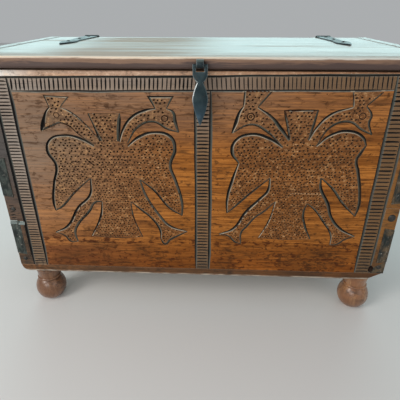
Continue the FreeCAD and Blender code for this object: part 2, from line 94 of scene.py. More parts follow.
def copyNode(node, name):
    # the CAD mesh comes in loose triangles, so the copy is welded and its flats made whole
    piece = bpy.data.objects.new(name, nodes[node].data.copy())
    bpy.context.collection.objects.link(piece)
    piece.data.materials.clear()
    pick(piece)
    bpy.ops.mesh.customdata_custom_splitnormals_clear()
    weld(0.00002)
    bpy.ops.mesh.dissolve_limited(angle_limit=math.radians(0.3))
    objectMode()
    return piece


def boolean(piece, other, operation):
    mod = piece.modifiers.new("boolean", 'BOOLEAN')
    mod.operation = operation
    mod.solver = 'MANIFOLD'
    mod.object = other
    pick(piece)
    bpy.ops.object.modifier_apply(modifier=mod.name)
    bpy.data.objects.remove(other, do_unlink=True)


def cutAway(piece, cutter):
    boolean(piece, cutter, 'DIFFERENCE')


def joinOn(piece, other):
    boolean(piece, other, 'UNION')


def smooth(piece, angle=32):
    pick(piece)
    bpy.ops.object.shade_smooth_by_angle(angle=math.radians(angle))


def wearEdges(piece, width, segments=2, angle=30):
    mod = piece.modifiers.new("soft edges", 'BEVEL')
    mod.width = width
    mod.segments = segments
    mod.limit_method = 'ANGLE'
    mod.angle_limit = math.radians(angle)
    mod.use_clamp_overlap = True
    pick(piece)
    bpy.ops.object.modifier_apply(modifier=mod.name)


# node helpers; a node or socket knows its own tree

def fill(node, ins):
    # each input takes a link or a plain value
    for key, value in ins.items():
        if isinstance(value, bpy.types.NodeSocket):
            node.id_data.links.new(value, node.inputs[key])
        else:
            node.inputs[key].default_value = value
    return node


def put(tree, kind, ins={}, **props):
    # props first, since a group has no inputs before it has its tree
    made = tree.nodes.new(kind)
    for key, value in props.items():
        setattr(made, key, value)
    return fill(made, ins)


def calc(op, a, b=0.0, clamp=False):
    return put(a.id_data, 'ShaderNodeMath', {0: a, 1: b}, operation=op, use_clamp=clamp).outputs[0]


def times(a, b, clamp=False):
    return calc('MULTIPLY', a, b, clamp)


def plus(a, b):
    return calc('ADD', a, b)


def most(a, b):
    return calc('MAXIMUM', a, b)


def away(value, middle):
    return calc('ABSOLUTE', calc('SUBTRACT', value, middle))


def vectors(op, a, b=(0, 0, 0)):
    return put(a.id_data, 'ShaderNodeVectorMath', {0: a, 1: b}, operation=op).outputs


def split(vector):
    return put(vector.id_data, 'ShaderNodeSeparateXYZ', {0: vector}).outputs


def objectPlace(tree):
    return put(tree, 'ShaderNodeTexCoord').outputs['Object']


def span(value, low, high, outLow=0.0, outHigh=1.0):
    ins = {'Value': value, 'From Min': low, 'From Max': high, 'To Min': outLow, 'To Max': outHigh}
    return put(value.id_data, 'ShaderNodeMapRange', ins, interpolation_type='SMOOTHSTEP').outputs[0]


def mixed(fac, a, b):
    a, b = [tint if isinstance(tint, bpy.types.NodeSocket) else (*tint, 1) for tint in (a, b)]
    return put(fac.id_data, 'ShaderNodeMix', {0: fac, 6: a, 7: b}, data_type='RGBA').outputs[2]


# each noise: scale, detail, roughness and warp, then the values between which its mask comes up
patterns = dict(
    streak=((1.9, 38, 38), 5, 0.6, 0.5, 0.3, 0.72),
    fibre=((11, 420, 420), 3, 0.6, 0.2, 0.38, 0.64),
    pores=((26, 760, 760), 2, 0.5, 0, 0.62, 0.72),
    cloud=((7, 7, 13), 5, 0.62, 0.6, 0.6, 0.84),
    patch=((13, 13, 16), 2, 0.5, 0, 0.44, 0.66),
    fleck=((95, 95, 210), 2, 0.55, 0, 0.66, 0.76),
    ironTone=((90, 90, 90), 4, 0.6, 0.3, 0.35, 0.7),
    dents=((170, 170, 170), 2, 0.5, 0),
    rust=((120, 120, 120), 5, 0.7, 0.4, 0.58, 0.72),
    frontCloud=((6, 6, 10), 4, 0.6, 0.4),
    smudge=((75, 75, 190), 4, 0.62, 0.5, 0.62, 0.8),
    fine=((9, 9, 330), 3, 0.6, 0.2, 0.52, 0.66),
    dash=((26, 26, 200), 4, 0.66, 0.3, 0.5, 0.68),
    spotty=((75, 75, 120), 3, 0.6, 0.5, 0.56, 0.7),
    beatenAndGlints=((130, 60, 170), 4, 0.68, 0.4, 0.52, 0.72),
    speck=((230, 120, 280), 3, 0.6, 0.3, 0.62, 0.72),
    lowDash=((62, 62, 125), 4, 0.66, 0.4, 0.62, 0.72),
    lowEdge=((28, 28, 60), 3, 0.6, 0, 0.38, 0.6),
    lidStreak=((1.4, 22, 22), 4, 0.6, 0.4, 0.32, 0.58),
    lidEdge=((16, 60, 190), 5, 0.66, 0.4),
    endMottle=((60, 60, 40), 4, 0.65, 0.3, 0.42, 0.68),
    crumbs=((210, 210, 210), 3, 0.6, 0, 0.63, 0.7),
    cutMottle=((55, 55, 55), 4, 0.6, 0.2, 0.38, 0.64))


def noise(place, name):
    scale, detail, rough, warp = patterns[name][:4]
    mapped = put(place.id_data, 'ShaderNodeMapping', {'Vector': place, 'Scale': scale}).outputs[0]
    ins = {'Vector': mapped, 'Scale': 1.0, 'Detail': detail, 'Roughness': rough, 'Distortion': warp}
    return put(place.id_data, 'ShaderNodeTexNoise', ins).outputs[0]


def spread(value, name, outLow=0.0, outHigh=1.0):
    return span(value, *patterns[name][4:], outLow, outHigh)


def masked(place, name, share=1.0):
    return spread(noise(place, name), name, 0.0, share)


def newGroup(name, ins, outs):
    # Along, Place and Normal are vectors, and all other sockets are numbers
    tree = bpy.data.node_groups.new(name, 'ShaderNodeTree')
    for labels, way in ((ins, 'INPUT'), (outs, 'OUTPUT')):
        for label in labels:
            kind = 'Vector' if label in ("Along", "Place", "Normal") else 'Float'
            tree.interface.new_socket(name=label, in_out=way, socket_type='NodeSocket' + kind)
    return tree, put(tree, 'NodeGroupInput').outputs, put(tree, 'NodeGroupOutput')


def use(tree, group, **ins):
    return put(tree, 'ShaderNodeGroup', node_tree=group, ins=ins).outputs


def newMat(name):
    mat = bpy.data.materials.new(name)
    mat.use_nodes = True
    return mat, mat.node_tree, mat.node_tree.nodes['Principled BSDF']


# grain: x of Along runs with the fibres
plankGrain, gin, gout = newGroup("plankGrain", ["Along"], ["Streak", "Fibre", "Pores", "Height"])
along = gin['Along']
fibre = noise(along, "fibre")
pores = masked(along, "pores")
ridges = calc('SUBTRACT', times(fibre, 0.7), times(pores, 0.5))
fill(gout, dict(Streak=noise(along, "streak"), Fibre=fibre, Pores=pores, Height=ridges))

# age: broad dark blotches that gather low down, small flecks and worm holes
wormLook = dict(scale=62.0, fade=(0.1, 0.055), sparse=0.72, dark=(0.01, 0.008, 0.006))
oldStains, gin, gout = newGroup("oldStains", ["Place", "Reach"], ["Blotch", "Flecks", "Worms"])
place = gin['Place']
lowness = span(split(place)[2], baseZ + 0.19, baseZ, 0.0, 0.2)
cloud = plus(plus(noise(place, "cloud"), lowness), gin['Reach'])
flecks = spread(plus(noise(place, "fleck"), lowness), "fleck")
cells = put(oldStains, 'ShaderNodeTexVoronoi', {'Vector': place, 'Scale': wormLook["scale"]}).outputs
lot = put(oldStains, 'ShaderNodeSeparateColor', {0: cells['Color']}).outputs[0]
worms = times(span(cells['Distance'], *wormLook["fade"]), calc('GREATER_THAN', lot, wormLook["sparse"]))
fill(gout, dict(Blotch=spread(cloud, "cloud"), Worms=worms, Flecks=times(flecks, masked(place, "patch"))))

# edges rubbed by hands: a mask and a rounded normal
rubbedEdge, gin, gout = newGroup("rubbedEdge", ["Width"], ["Rub", "Normal"])
rounded = put(rubbedEdge, 'ShaderNodeBevel', {'Radius': gin['Width']}, samples=6).outputs[0]
flat = put(rubbedEdge, 'ShaderNodeNewGeometry').outputs['True Normal']
turn = vectors('DOT_PRODUCT', rounded, flat)['Value']
fill(gout, dict(Rub=span(turn, 0.985, 0.8), Normal=rounded))

# forged skin: dents, tone and rust
ironSkin, gin, gout = newGroup("ironSkin", ["Place"], ["Tone", "Dents", "Rust"])
place = gin['Place']
fill(gout, dict(Tone=noise(place, "ironTone"), Dents=noise(place, "dents"), Rust=masked(place, "rust")))

# depth below the carved face, how much a wall lies open, and how far it looks up to the light
lightFrom = (-0.42, 0.0, 0.91)
carveDepth, gin, gout = newGroup("carveDepth", ["Place", "Full"], ["Depth", "Slope", "Lit"])
sunk = calc('SUBTRACT', split(gin['Place'])[1], frontY)
facing = put(carveDepth, 'ShaderNodeNewGeometry').outputs['Normal']
outward = calc('ABSOLUTE', split(facing)[1])
upward = vectors('DOT_PRODUCT', facing, lightFrom)['Value']
fill(gout, dict(Depth=calc('DIVIDE', sunk, gin['Full'], clamp=True),
                Slope=span(outward, 0.62, 0.72), Lit=span(upward, 0.02, 0.4)))

# the front's tone: a painted cool sheen mixed with dust, paler and greyer to the left and along the top, and
# darker near the foot
frontTone, gin, gout = newGroup("frontTone", ["Place"], ["SheenAndDust", "Low"])
across, back, height = split(gin['Place'])
cloud = noise(gin['Place'], "frontCloud")
left = span(across, -0.02, -0.35)
up = span(height, baseZ + 0.06, baseZ + 0.3, 0.2, 1.0)
top = times(span(height, baseZ + 0.27, baseZ + 0.4), span(across, -0.1, 0.35, 0.7, 0.16))
sheenAndDust = most(times(left, up), top)
lowDown = span(height, baseZ + 0.12, baseZ + 0.02)
fill(gout, dict(SheenAndDust=times(sheenAndDust, plus(cloud, 0.5), True), Low=times(lowDown, plus(cloud, 0.4), True)))

# smudges at places that the photo shows, as (x, z, half width, half height, strength) in mm
smudges = [(-322, 388, 14, 6, 0.7), (-290, 382, 11, 12, 0.6), (-290, 345, 10, 14, 0.6),
           (-316, 345, 12, 16, 0.5), (-165, 392, 34, 5, 0.7), (-208, 50, 5, 20, 0.9), (-199, 46, 4, 17, 0.8),
           (-226, 62, 30, 15, 0.5), (-232, 113, 18, 16, 0.8), (-120, 58, 45, 12, 0.5),
           (-300, 140, 16, 26, 0.4), (58, 70, 28, 16, 0.8), (110, 60, 34, 9, 0.7), (170, 55, 40, 8, 0.6),
           (262, 72, 34, 9, 0.7), (300, 88, 22, 6, 0.6), (40, 40, 26, 8, 0.6), (240, 34, 60, 7, 0.5)]
placedStains, gin, gout = newGroup("placedStains", ["Place"], ["Smudge"])
total = None
for x, z, wide, tall, strength in smudges:
    middle = vectors('SUBTRACT', gin['Place'], (x / 1000, frontY, z / 1000 + baseZ))[0]
    scaled = vectors('MULTIPLY', middle, (1000 / wide, 8, 1000 / tall))[0]
    spot = span(vectors('LENGTH', scaled)['Value'], 1.5, 0.2, 0.0, strength)
    total = spot if total is None else most(total, spot)
flecked = plus(noise(gin['Place'], "smudge"), times(total, 0.3))
fill(gout, dict(Smudge=spread(flecked, "smudge")))


def layered(look, colour, layers):
    # each layer is a tint, or the look's name for it, its mask, and how much of it shows if not all
    for tint, mask, *share in layers:
        colour = mixed(times(mask, *share) if share else mask, colour, look.get(tint, tint))
    return colour


# what a wood has where its own look says nothing else
plainWood = dict(turn=(0, 0, 0), edge=0.0012, stain=0.0, fibre=0.75, sheenAndDustShare=0.6, lowering=0.55, pore=0.45,
                 blotch=0.6, fleck=0.75, rubbing=0.55, rough=0.45, bump=0.25, wax=0.0, waxRough=0.3,
                 shine=0.2)


def woodMat(name, own):
    look = {**plainWood, **own}
    mat, tree, shader = newMat(name)
    place = objectPlace(tree)
    across, back, height = split(place)
    turned = put(tree, 'ShaderNodeMapping', {'Vector': place, 'Rotation': look["turn"]}).outputs[0]
    grain = use(tree, plankGrain, Along=turned)
    stains = use(tree, oldStains, Place=place, Reach=look["stain"])
    edge = use(tree, rubbedEdge, Width=look["edge"])
    relief = grain['Height']
    polish = span(grain['Fibre'], 0.2, 0.8, look["rough"] - 0.07, look["rough"] + 0.09)
    wax = look["wax"]
    layers = [("deep", spread(grain['Fibre'], "fibre"), look["fibre"])]
    if "dash" in look:
        fine = noise(place, "fine")
        layers += [("deep", spread(fine, "fine", 0.0, look["dash"])),
                   ("pale", span(fine, 0.46, 0.33, 0.0, look["dash"] * 0.8))]
    if "sheenAndDust" in look:
        # painted sheen with dust over the left and top of the front, and the darker foot
        tone = use(tree, frontTone, Place=place)
        layers += [("sheenAndDust", tone['SheenAndDust'], look["sheenAndDustShare"]), ("low", tone['Low'], look["lowering"])]
    if "side" in look:
        # a tint towards one side: a warmer tone on the right of the front; on the bead's far left, worn wood
        # and a painted highlight
        start, end, share, tint = look["side"]
        layers += [(tint, span(across, start, end, 0.0, share))]
    layers += [("dirt", grain['Pores'], look["pore"]), ("dirt", stains['Blotch'], look["blotch"]),
               ("dirt", stains['Flecks'], look["fleck"])]
    if "dash" in look:
        layers += [("dirt", masked(place, kind, look["dash"])) for kind in ("dash", "spotty")]
    if "beatenAndGlints" in look:
        # a beaten mottle of bright patches, specks, dark hollows and small bumps; on the bead its bright
        # patches and specks are painted highlights
        beatenAndGlints = noise(place, "beatenAndGlints")
        layers += [("rub", spread(beatenAndGlints, "beatenAndGlints", 0.0, look["beatenAndGlints"])),
                   ("dirt", span(beatenAndGlints, 0.48, 0.3, 0.0, look["beatenAndGlints"])),
                   ("speck", masked(place, "speck", look["beatenAndGlints"]))]
        relief = plus(relief, times(beatenAndGlints, 2.2))
    if "scar" in look:
        start, end, level = look["scar"]
        ends = times(span(across, start, start + 0.02), span(across, end, end - 0.02))
        layers += [("speck", times(span(away(height, level), 0.0017, 0.0006, 0.0, 0.6), ends))]
    if "smudge" in look:
        layers += [("dirt", use(tree, placedStains, Place=place)['Smudge'], look["smudge"])]
    if "lowStreak" in look:
        row = span(away(height, baseZ + 0.088), 0.014, 0.002, 0.0, 0.13)
        reach = plus(span(height, baseZ + 0.1, baseZ + 0.05, 0.0, 0.09), row)
        layers += [("lowStreak", spread(plus(noise(place, "lowDash"), reach), "lowDash", 0.0, 0.85))]
    if "worm" in look:
        layers += [(wormLook["dark"], stains['Worms'], look["worm"])]
    if "rub" in look:
        layers += [("rub", edge['Rub'], look["rubbing"])]
    if "shade" in look:
        layers += [("shade", span(height, rimZ - 0.0048, rimZ - 0.0034))]
    if "lowEdge" in look:
        foot = span(height, baseZ + 0.0062, baseZ + 0.0022)
        layers += [("rub", times(foot, spread(noise(place, "lowEdge"), "lowEdge", *look["lowEdge"])))]
    if "edgeDark" in look:
        # the lid: dull where it is handled, tan and dark along its front edge, and on the arris a pale
        # painted highlight over worn wood
        lidLow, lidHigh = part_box("lid_board")
        streaks, streaky = noise(place, "lidStreak"), noise(place, "lidEdge")
        dull = span(away(across, -0.14), 0.22, 0.04)
        dull = most(dull, span(back, lidLow.y + 0.09, lidLow.y + 0.004, 0.0, 0.7))
        dull = times(dull, spread(streaks, "lidStreak", 0.3, 1.0))
        dull = most(dull, span(streaks, 0.52, 0.7, 0.0, 0.5))
        wax = times(span(dull, 0.0, 1.0, 1.0, 0.34), wax)
        polish = plus(polish, times(dull, 0.4))
        nearFront = span(back, lidLow.y + 0.009, lidLow.y + 0.003)
        lower = span(plus(height, times(streaky, 0.024)), lidLow.z + 0.026, lidLow.z + 0.019)
        arris = span(plus(height, times(streaky, 0.006)), lidHigh.z - 0.0012, lidHigh.z + 0.0014)
        wornArrisHighlight = mixed(span(across, -0.05, 0.3), look["rub"], look["wornArrisHighlight"])
        layers += [("dull", dull, 0.7), ("edgeTan", nearFront, 0.6),
                   ("edgeDark", times(lower, nearFront), 0.85), (wornArrisHighlight, times(arris, nearFront), 0.85)]
    if "endGrain" in look:
        skin = 0.0022
        nearEnd = most(calc('LESS_THAN', back, frontY + skin), calc('GREATER_THAN', back, backY - skin))
        pale = mixed(span(across, -0.1, 0.1), look["endGreen"], look["endPale"])
        tip = mixed(masked(place, "endMottle"), look["endGrain"], pale)
        tip = layered(look, tip, [("rub", masked(place, "crumbs"), 0.45), ("rub", edge['Rub'], 0.12)])
        layers += [(tip, nearEnd)]
    colour = layered(look, mixed(spread(grain['Streak'], "streak"), look["pale"], look["deep"]), layers)
    bump = put(tree, 'ShaderNodeBump', {'Strength': look["bump"], 'Distance': 0.0006, 'Height': relief,
                                        'Normal': edge['Normal']}).outputs[0]
    fill(shader, {'Base Color': colour, 'Roughness': polish, 'Normal': bump, 'Coat Weight': wax,
                  'Coat Roughness': look["waxRough"], 'Specular IOR Level': look["shine"]})
    return mat


def cutMat(name, look):
    # dark patina in the depth of a cut and patina on its slope; a painted highlight, mixed with dust, on the
    # lip that faces the light; painted shade on steep walls and deeper slopes by how they face the light
    mat, tree, shader = newMat(name)
    place = objectPlace(tree)
    carve = use(tree, carveDepth, Place=place, Full=look["full"])
    edge = use(tree, rubbedEdge, Width=0.0005)
    depth, lit = carve['Depth'], carve['Lit']
    mottle = noise(place, "cutMottle")
    lip = times(span(depth, 0.42, 0.18, 0.0, look["lighting"]), span(mottle, 0.36, 0.58, 0.3, 1.0))
    slope = mixed(spread(mottle, "cutMottle"), look["patina"], look["green"])
    slope = mixed(times(lit, lip), slope, look["dustAndHighlight"])
    # steep walls: painted shade where they turn from the light, half wood colour where they face it
    steep = mixed(times(lit, 0.5), look["dark"], look["wood"])
    # painted shade low on the slopes that face the light, and dark patina at the bottom of every cut
    shadeAndPatina = most(times(lit, span(depth, 0.3, 0.55)), span(depth, 0.74, 0.98))
    colour = mixed(shadeAndPatina, mixed(carve['Slope'], steep, slope), look["dark"])
    fill(shader, {'Base Color': colour, 'Normal': edge['Normal'], 'Roughness': 0.6,
                  'Specular IOR Level': 0.15})
    return mat


plainIron = dict(edge=0.0011, rust=(0.075, 0.034, 0.017), rusting=0.35, filing=0.75, metal=0.75, bump=0.35)


def ironMat(name, own):
    look = {**plainIron, **own}
    mat, tree, shader = newMat(name)
    place = objectPlace(tree)
    skin = use(tree, ironSkin, Place=place)
    edge = use(tree, rubbedEdge, Width=look["edge"])
    facing = split(edge['Normal'])
    layers = [("rust", skin['Rust'], look["rusting"]), ("bright", edge['Rub'], look["filing"])]
    # a painted highlight on faces that look up
    if "up" in look:
        layers += [("up", span(facing[2], 0.3, 0.85, 0.0, 0.8))]
    if "leftEdgeHighlight" in look:
        # the hasp: a painted blue reflection towards its tip, and one painted highlight along the left edge
        # of the blade
        height = split(place)[2]
        tipZ, neckZ = look["tipZ"], look["neckZ"]
        blade = times(span(height, tipZ + 0.03, tipZ + 0.055), span(height, neckZ + 0.005, neckZ - 0.003))
        layers += [("tip", span(height, tipZ + 0.05, tipZ + 0.015, 0.0, 0.6)),
                   ("leftEdgeHighlight", times(span(facing[0], -0.12, -0.4), blade))]
    colour = layered(look, mixed(spread(skin['Tone'], "ironTone"), look["dark"], look["pale"]), layers)
    polish = span(skin['Tone'], 0.3, 0.7, 0.36, 0.56)
    bump = put(tree, 'ShaderNodeBump', {'Strength': look["bump"], 'Distance': 0.0008, 'Height': skin['Dents'],
                                        'Normal': edge['Normal']}).outputs[0]
    fill(shader, {'Base Color': colour, 'Metallic': look["metal"], 'Roughness': polish, 'Normal': bump})
    return mat


lidLook = dict(dirt=(0.04, 0.024, 0.018), rough=0.36, edge=0.003, stain=-0.06, shine=0.4)
footLook = dict(rough=0.36, wax=0.8, waxRough=0.27, turn=(0, quarter, 0), stain=-0.1, bump=0.12)
woodLooks = dict(
    panelWood=dict(pale=(0.5, 0.186, 0.036), deep=(0.165, 0.052, 0.008), sheenAndDust=(0.205, 0.165, 0.128),
                   sheenAndDustShare=0.72, low=(0.15, 0.029, 0.001), dirt=(0.05, 0.019, 0.006), rub=(0.42, 0.22, 0.09),
                   rough=0.5, worm=0.9, smudge=0.55, dash=0.7, blotch=0.4, shine=0.1,
                   lowStreak=(0.055, 0.013, 0.003)),
    birdWood=dict(pale=(0.29, 0.11, 0.028), deep=(0.15, 0.055, 0.014), sheenAndDust=(0.22, 0.168, 0.115),
                  low=(0.15, 0.042, 0.004), dirt=(0.045, 0.02, 0.009), rub=(0.42, 0.23, 0.1), rough=0.55,
                  smudge=0.6, dash=0.5, beatenAndGlints=0.95, speck=(0.58, 0.34, 0.17), shine=0.12,
                  scar=(0.172, 0.276, baseZ + 0.206)),
    bandWood=dict(pale=(0.26, 0.146, 0.066), deep=(0.145, 0.076, 0.034), sheenAndDust=(0.34, 0.315, 0.29),
                  low=(0.17, 0.115, 0.066), dirt=(0.04, 0.028, 0.02), rub=(0.36, 0.28, 0.2), rubbing=0.6,
                  side=(-0.02, 0.22, 0.5, (0.13, 0.068, 0.026))),
    marginWood=dict(pale=(0.18, 0.085, 0.034), deep=(0.085, 0.042, 0.02), sheenAndDust=(0.075, 0.066, 0.062),
                    sheenAndDustShare=1.0, low=(0.1, 0.058, 0.03), dirt=(0.018, 0.016, 0.014), rub=(0.5, 0.42, 0.32),
                    rough=0.5, stain=0.08, dash=0.5, side=(-0.02, 0.22, 0.85, (0.24, 0.1, 0.022))),
    # the bead: its near-white far left is worn wood with a painted highlight, its bright beaten patches and
    # specks are painted highlights, and its shade is a painted shadow under the lid
    beadWood=dict(pale=(0.5, 0.225, 0.092), deep=(0.24, 0.098, 0.04), sheenAndDust=(0.8, 0.68, 0.54), sheenAndDustShare=0.32,
                  low=(0.3, 0.2, 0.1), dirt=(0.08, 0.04, 0.022), rub=(0.8, 0.58, 0.4), rough=0.36, wax=0.1,
                  shine=0.4, shade=(0.035, 0.02, 0.013), beatenAndGlints=0.6, speck=(0.85, 0.7, 0.55), rubbing=0.2,
                  side=(-0.27, -0.38, 0.85, (0.9, 0.9, 0.86))),
    # the top faces of the ledges: pale grey-green, a painted highlight
    ledgeWood=dict(pale=(0.3, 0.35, 0.33), deep=(0.08, 0.105, 0.1), dirt=(0.05, 0.06, 0.055),
                   rub=(0.7, 0.74, 0.71), rough=0.4, edge=0.0006, stain=-0.2, dash=0.7),
    # the lid's pale cream rub on its edges is worn wood and a painted highlight together
    lidWood=dict(lidLook, pale=(0.25, 0.135, 0.078), deep=(0.13, 0.064, 0.04), rub=(0.88, 0.74, 0.58),
                 wax=0.4, edgeDark=(0.04, 0.022, 0.021), edgeTan=(0.17, 0.085, 0.05), dull=(0.4, 0.27, 0.17),
                 wornArrisHighlight=(0.72, 0.74, 0.68), dash=0.3),
    cleatWood=dict(lidLook, pale=(0.2, 0.118, 0.078), deep=(0.11, 0.058, 0.04), rub=(0.5, 0.36, 0.25),
                   wax=0.3, turn=(0, 0, quarter)),
    endWood=dict(pale=(0.26, 0.12, 0.05), deep=(0.16, 0.066, 0.026), dirt=(0.045, 0.022, 0.012),
                 rub=(0.5, 0.46, 0.4), rough=0.5, turn=(0, 0, quarter), rubbing=0.3,
                 endGrain=(0.013, 0.018, 0.017), endPale=(0.11, 0.075, 0.042),
                 endGreen=(0.052, 0.066, 0.058)),
    chestWood=dict(pale=(0.24, 0.115, 0.05), deep=(0.15, 0.064, 0.026), dirt=(0.045, 0.022, 0.012),
                   rub=(0.3, 0.18, 0.1), rough=0.55),
    bottomWood=dict(pale=(0.25, 0.115, 0.045), deep=(0.14, 0.058, 0.02), dirt=(0.04, 0.022, 0.012),
                    rub=(0.55, 0.48, 0.39), rubbing=0.12, rough=0.55, edge=0.0028, dash=0.45,
                    lowEdge=(0.2, 0.85), side=(-0.02, 0.22, 0.75, (0.11, 0.038, 0.009))),
    footWood=dict(footLook, pale=(0.24, 0.115, 0.054), deep=(0.135, 0.055, 0.024), dirt=(0.05, 0.024, 0.014)),
    # the right foot: a paler copy of the foot wood, painting in the stronger light that falls on it
    paleFoot=dict(footLook, pale=(0.5, 0.265, 0.122), deep=(0.24, 0.1, 0.042), dirt=(0.06, 0.03, 0.017)),
    pegWood=dict(pale=(0.16, 0.09, 0.05), deep=(0.1, 0.05, 0.026), dirt=(0.04, 0.022, 0.013), rough=0.5))
cutLooks = dict(
    cutPatina=dict(dark=(0.0085, 0.008, 0.0075), patina=(0.112, 0.1, 0.078), green=(0.068, 0.078, 0.064),
                   full=0.0028, wood=(0.12, 0.065, 0.032), dustAndHighlight=(0.42, 0.34, 0.25), lighting=0.9),
    pitPatina=dict(dark=(0.017, 0.0078, 0.0045), patina=(0.048, 0.02, 0.0095), green=(0.032, 0.017, 0.0095),
                   full=0.0026, wood=(0.04, 0.02, 0.009), dustAndHighlight=(0.13, 0.07, 0.035), lighting=0.35),
    borderCut=dict(dark=(0.0085, 0.0085, 0.009), patina=(0.088, 0.08, 0.067), green=(0.062, 0.074, 0.066),
                   full=0.0023, wood=(0.06, 0.045, 0.034), dustAndHighlight=(0.32, 0.28, 0.23), lighting=0.7))
forged = dict(dark=(0.019, 0.031, 0.036), pale=(0.042, 0.057, 0.063), bright=(0.42, 0.46, 0.46))
haspLow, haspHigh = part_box("hasp")
ironLooks = dict(
    forgedIron=forged,
    # the eye's lighter top is a painted highlight
    eyeIron=dict(forged, edge=0.0022, up=(0.2, 0.24, 0.22)),
    # the hasp's tip tint is a painted reflection and its left edge colour a painted highlight
    haspIron=dict(dark=(0.014, 0.028, 0.034), pale=(0.03, 0.05, 0.056), bright=(0.3, 0.36, 0.37), edge=0.0028,
                  leftEdgeHighlight=(0.9, 0.95, 0.95), tip=(0.028, 0.055, 0.078), tipZ=haspLow.z,
                  neckZ=haspHigh.z - (haspHigh.z - haspLow.z) * 0.275),
    nailIron=dict(dark=(0.03, 0.03, 0.028), pale=(0.06, 0.055, 0.05), bright=(0.2, 0.19, 0.17), rusting=0.7))
mats = {}
for make, looks in ((woodMat, woodLooks), (cutMat, cutLooks), (ironMat, ironLooks)):
    for name, look in looks.items():
        mats[name] = make(name, look)
print("materials made")

# by name where a piece has its own finish, and by kind for the others
finishes = dict(back_board="chestWood", left_end_board="endWood", right_end_board="endWood",
                lid_board="lidWood", lid_left_cleat="cleatWood", lid_right_cleat="cleatWood",
                cleat_pegs="pegWood", foot_wedges="pegWood", front_right_foot="paleFoot",
                front_board="panelWood")
kinds = dict(foot="footWood", plank="bottomWood", nails="nailIron", hinge="forgedIron", hasp="forgedIron")
for name, node in nodes.items():
    finish = finishes.get(name) or next(mat for word, mat in kinds.items() if word in name)
    node.data.materials.clear()
    node.data.materials.append(mats[finish])


# the carved front: strokes in mm, x from the middle and z up from the underside of the chest,
# each with its weight, in order round each bird
leftBird = dict(
    leftCrest=(0.5, [(-273, 371), (-279, 392), (-235, 390), (-253, 371)]),
    leftNeckTop=(0.55, [(-252, 371), (-236, 364), (-214, 345), (-186, 310)]),
    fanLeft=(0.5, [(-186, 308, 1.0), (-190, 322, 0.9), (-196, 341, 0.45), (-203, 361, 0.4)]),
    fanTop=(0.2, [(-203, 361), (-144, 361)]),
    fanRight=(1.05, [(-144, 362, 0.25), (-145, 350, 1.2), (-148, 330, 1.3), (-152, 308, 0.7)]),
    rightNeckTop=(0.9, [(-150, 307), (-141, 332), (-123, 355), (-97, 368), (-78, 371)]),
    rightCrest=(0.7, [(-79, 371), (-90, 392), (-46, 392), (-58, 371)]),
    rightHead=(0.75, [(-58, 371, 0.4), (-46, 365, 0.8), (-42, 347, 1.1), (-37, 327, 0.6)]),
    rightNeckLow=(0.75, [(-37, 327), (-58, 333), (-83, 346), (-112, 336), (-134, 305)]),
    rightWing=(1.0, [(-135, 299), (-114, 317), (-83, 327), (-52, 319), (-44, 295),
                     (-54, 261), (-45, 230), (-33, 181), (-34, 151)]),
    rightWingIn=(0.8, [(-34, 151), (-58, 166), (-90, 207), (-116, 230)]),
    rightLegOut=(1.0, [(-116, 230), (-105, 194), (-80, 150), (-61, 127), (-24, 113)]),
    rightToe=(0.8, [(-24, 113), (-45, 101), (-61, 91), (-72, 80), (-81, 92)]),
    rightLegIn=(0.75, [(-81, 92), (-82, 115), (-98, 143), (-116, 160), (-137, 180)]),
    tailRight=(0.55, [(-138, 181), (-135, 145), (-119, 97)]),
    tailFoot=(0.25, [(-119, 97), (-172, 94), (-229, 97)]),
    tailLeft=(0.9, [(-229, 97), (-204, 148), (-198, 179)]),
    leftLegIn=(0.85, [(-197, 180), (-212, 177), (-225, 158), (-254, 125), (-263, 106), (-261, 82)]),
    leftToe=(0.6, [(-261, 82), (-277, 81), (-288, 96), (-307, 104)]),
    leftLegOut=(1.05, [(-307, 104), (-279, 120), (-249, 166), (-221, 195), (-215, 231)]),
    leftWingIn=(0.75, [(-215, 231), (-252, 198), (-282, 166), (-297, 157)]),
    leftWing=(0.95, [(-297, 157), (-299, 175), (-291, 218), (-280, 258), (-292, 288),
                    (-283, 310), (-255, 319), (-225, 314), (-199, 298)]),
    leftNeckLow=(0.4, [(-199, 300, 0.3), (-221, 317, 0.35), (-254, 342, 0.5), (-275, 336, 0.75),
                       (-296, 327, 0.6)]),
    leftHead=(0.8, [(-296, 327, 0.7), (-292, 338, 1.55), (-286, 353, 1.0), (-280, 364, 0.7),
                    (-273, 371, 0.5)]))
